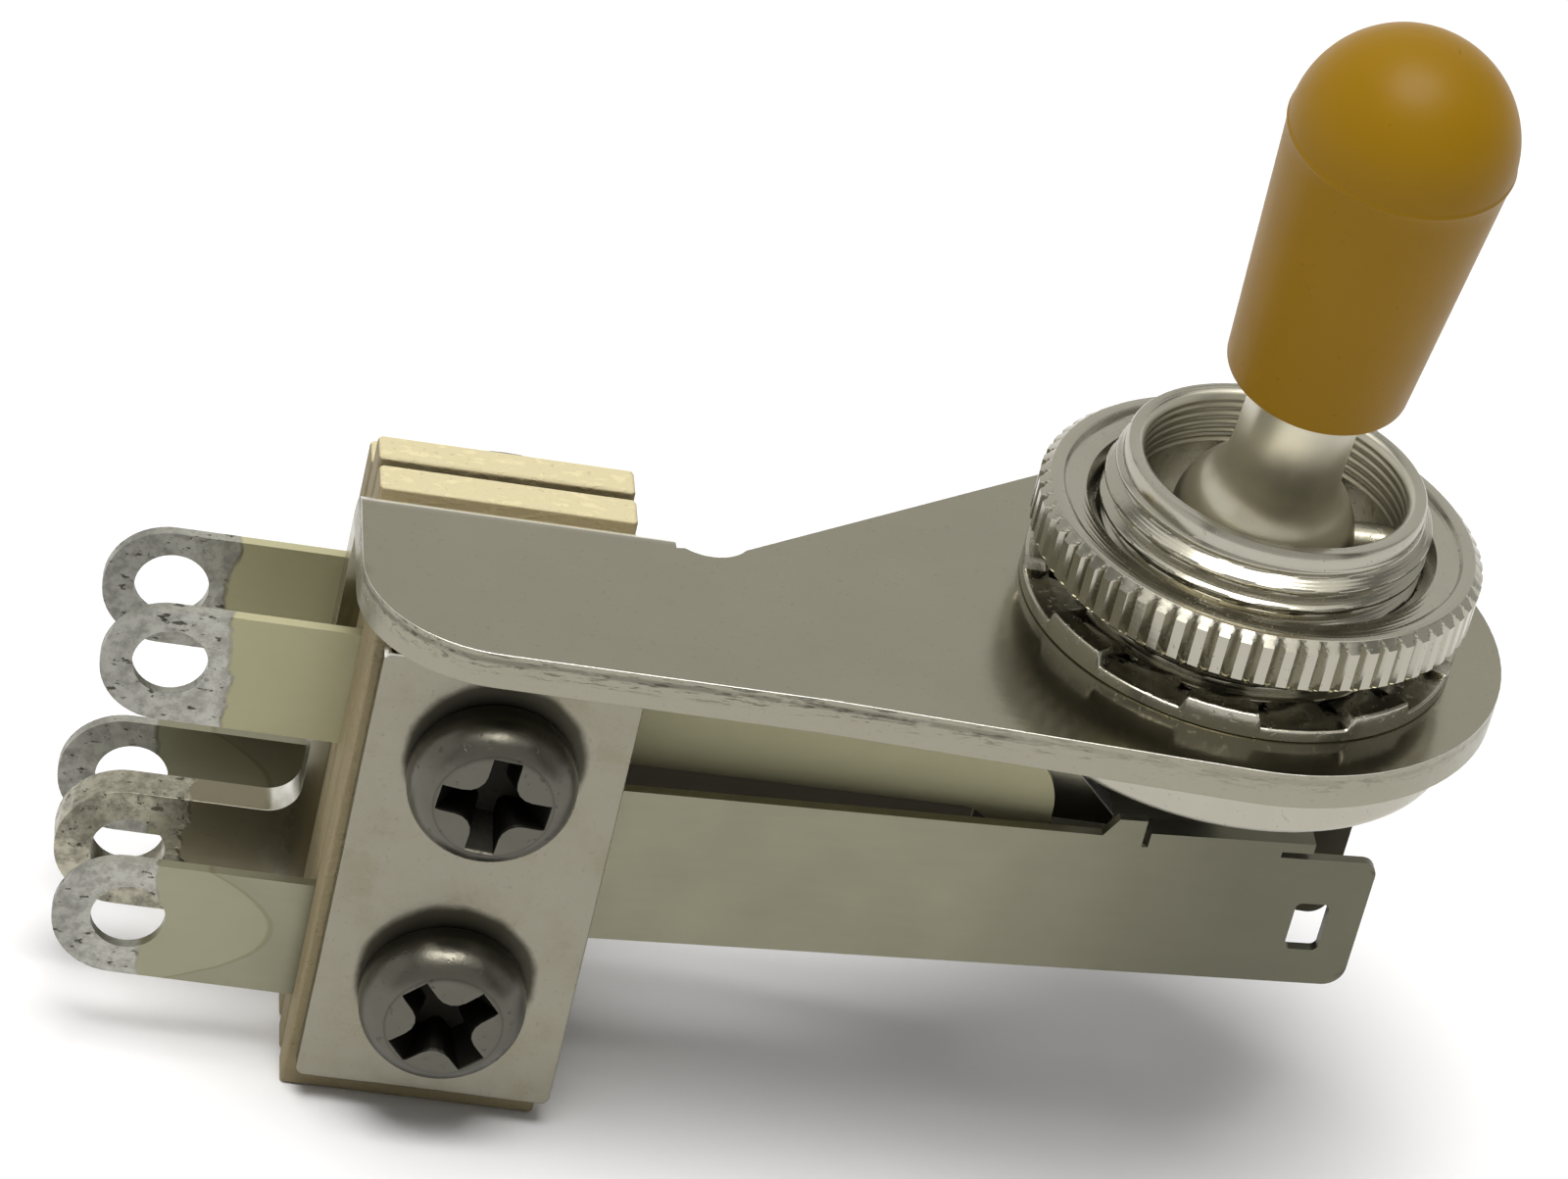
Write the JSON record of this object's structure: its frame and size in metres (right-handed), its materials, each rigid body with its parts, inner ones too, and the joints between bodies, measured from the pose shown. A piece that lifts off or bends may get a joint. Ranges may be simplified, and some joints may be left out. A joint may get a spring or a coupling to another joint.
{
  "type": "toggle switch",
  "caption": "Right-angle three-way selector toggle: threaded bushing on a folded plate, leaning lever with a tip, and a clamped stack of leaf contacts with solder lugs.",
  "frame": {"origin": "on the bushing's axis, halfway along the free lead of its thread (5.175 mm above the plate's top face)", "axes": "+Z out along the bushing towards the tip; the stack of leaves lies towards -X; +X is along the leaves away from the lugs; Y is across the leaves, the way the lever throws"},
  "size_m": [0.0501, 0.0198, 0.0474],
  "materials": {
    "nickel_sheet": "satin nickel plate on folded sheet",
    "nickel_turned": "bright turned nickel plate",
    "nickel_stamped": "bright stamped nickel plate",
    "screw_steel": "rolled steel, slightly dark",
    "leaf_spring": "olive-grey nickel silver, tinned at the lugs",
    "contact_metal": "silver contact",
    "insulator_board": "cream laminate with pale flecks",
    "tube_insulation": "plain tube",
    "amber_plastic": "moulded amber, soft gloss",
    "black_plastic": "moulded black"
  },
  "bodies": {
    "switch_body": {"frame": "nickel_sheet", "bushing": "nickel_turned", "knurled_nut": "nickel_turned", "lock_washer": "nickel_stamped", "pivot_pin": "nickel_turned", "clamp_plate": "nickel_sheet", "tapped_plate": "nickel_sheet", "stack_screws": "screw_steel", "screw_tubes": "tube_insulation", "near_inner_insulator": "insulator_board", "near_middle_insulator": "insulator_board", "near_outer_insulator": "insulator_board", "far_inner_insulator": "insulator_board", "far_middle_insulator": "insulator_board", "far_outer_insulator": "insulator_board", "near_inner_leaf": "leaf_spring", "near_outer_leaf": "leaf_spring", "near_inner_contact": "contact_metal", "far_inner_leaf": "leaf_spring", "far_outer_leaf": "leaf_spring", "far_inner_contact": "contact_metal"},
    "lever_arm": {"lever": "nickel_turned", "lever_tip": "amber_plastic", "actuator": "black_plastic"},
    "near_leaf_end": {"near_outer_contact": "contact_metal"},
    "far_leaf_end": {"far_outer_contact": "contact_metal"}
  },
  "joints": [
    {"name": "lever_throw", "type": "hinge", "parent": "switch_body", "child": "lever_arm", "pos_m": [0, 0, -0.00156], "axis": [-1, 0, 0], "range_deg": [0, 19.76]},
    {"name": "near_leaf_flex", "type": "hinge", "parent": "switch_body", "child": "near_leaf_end", "pos_m": [-0.02175, -0.00433, -0.01657], "axis": [0, 0, -1], "range_deg": [0, 4.11], "deforming": ["near_outer_leaf"]},
    {"name": "far_leaf_flex", "type": "hinge", "parent": "switch_body", "child": "far_leaf_end", "pos_m": [-0.02175, 0.00433, -0.01657], "axis": [0, 0, -1], "range_deg": [0, 4.11], "deforming": ["far_outer_leaf"]}
  ],
  "couplings": [
    {"joint": "near_leaf_flex", "follows": "lever_throw", "ratio": 0.20759},
    {"joint": "far_leaf_flex", "follows": "lever_throw", "ratio": 0.20759}
  ]
}
